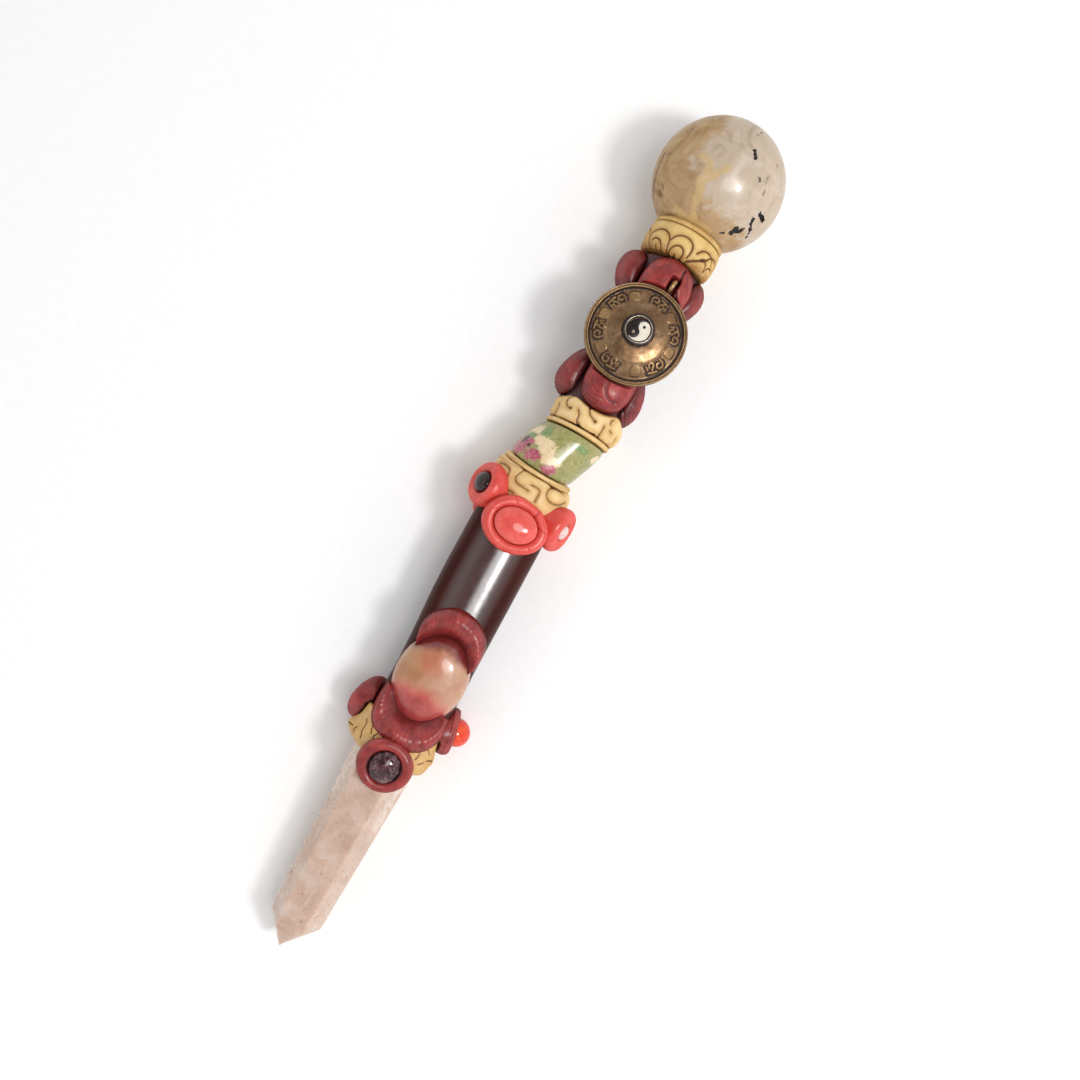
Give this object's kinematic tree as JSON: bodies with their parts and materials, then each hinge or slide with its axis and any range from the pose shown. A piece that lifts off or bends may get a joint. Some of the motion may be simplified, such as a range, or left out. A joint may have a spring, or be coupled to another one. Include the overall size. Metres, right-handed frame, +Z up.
{
  "type": "magic wand",
  "caption": "Handmade crystal wand: quartz point, round dark handle with cabochons in clay bezels, domed round medallion, petals and a polished stone sphere as pommel.",
  "frame": {"origin": "centre of the wand's footprint on the table that it lies on", "axes": "+X along the wand from the quartz tip to the pommel sphere, +Y to the wand's left, +Z up, the side with the medallion and cabochons"},
  "size_m": [0.2824, 0.04, 0.04],
  "materials": {
    "quartz": "natural rock crystal facets, milky inside",
    "cream_clay": "baked polymer clay with brown antiquing in the grooves",
    "maroon_clay": "baked polymer clay, satin",
    "coral_clay": "baked polymer clay, satin",
    "handle_wood": "dark stained wood, satin lacquer",
    "core_steel": "plain drawn rod",
    "palm_stone": "polished translucent agate",
    "coral_stone": "polished",
    "garnet": "polished, near black",
    "carnelian": "polished",
    "opal": "polished, iridescent",
    "bead_stone": "polished, mottled green, magenta and cream",
    "brass": "antiqued cast brass",
    "enamel_black": "hard black enamel",
    "enamel_white": "hard white enamel",
    "pommel_stone": "polished moonstone with tourmaline specks"
  },
  "bodies": {
    "root": {"quartz_point": "quartz", "tip_collar": "cream_clay", "tip_bezel_front": "maroon_clay", "tip_bezel_left": "maroon_clay", "tip_bezel_right": "maroon_clay", "tip_stone_front": "garnet", "tip_stone_left": "garnet", "tip_stone_right": "carnelian", "palm_stone": "palm_stone", "palm_lip_lower": "maroon_clay", "palm_lip_upper": "maroon_clay", "handle": "handle_wood", "core_rod": "core_steel", "coral_bezel_front": "coral_clay", "coral_bezel_left": "coral_clay", "coral_bezel_right": "coral_clay", "coral_bezel_back_left": "coral_clay", "coral_bezel_back_right": "coral_clay", "coral_stone_front": "coral_stone", "coral_stone_left": "garnet", "coral_stone_right": "opal", "coral_stone_back_left": "garnet", "coral_stone_back_right": "garnet", "lower_collar": "cream_clay", "lower_collar_band": "cream_clay", "stone_bead": "bead_stone", "upper_collar_band": "cream_clay", "upper_collar": "cream_clay", "waist_core": "maroon_clay", "lower_petal_front": "maroon_clay", "lower_petal_left": "maroon_clay", "lower_petal_right": "maroon_clay", "lower_petal_back": "maroon_clay", "upper_petal_front": "maroon_clay", "upper_petal_left": "maroon_clay", "upper_petal_right": "maroon_clay", "upper_petal_back": "maroon_clay", "medallion_pad": "maroon_clay", "medallion_plate": "brass", "medallion_rim": "brass", "medallion_bail": "brass", "medallion_boss": "enamel_black", "enamel_black": "enamel_black", "enamel_white": "enamel_white", "pommel_cup": "cream_clay", "pommel_rim": "cream_clay", "pommel_sphere": "pommel_stone"}
  },
  "joints": []
}
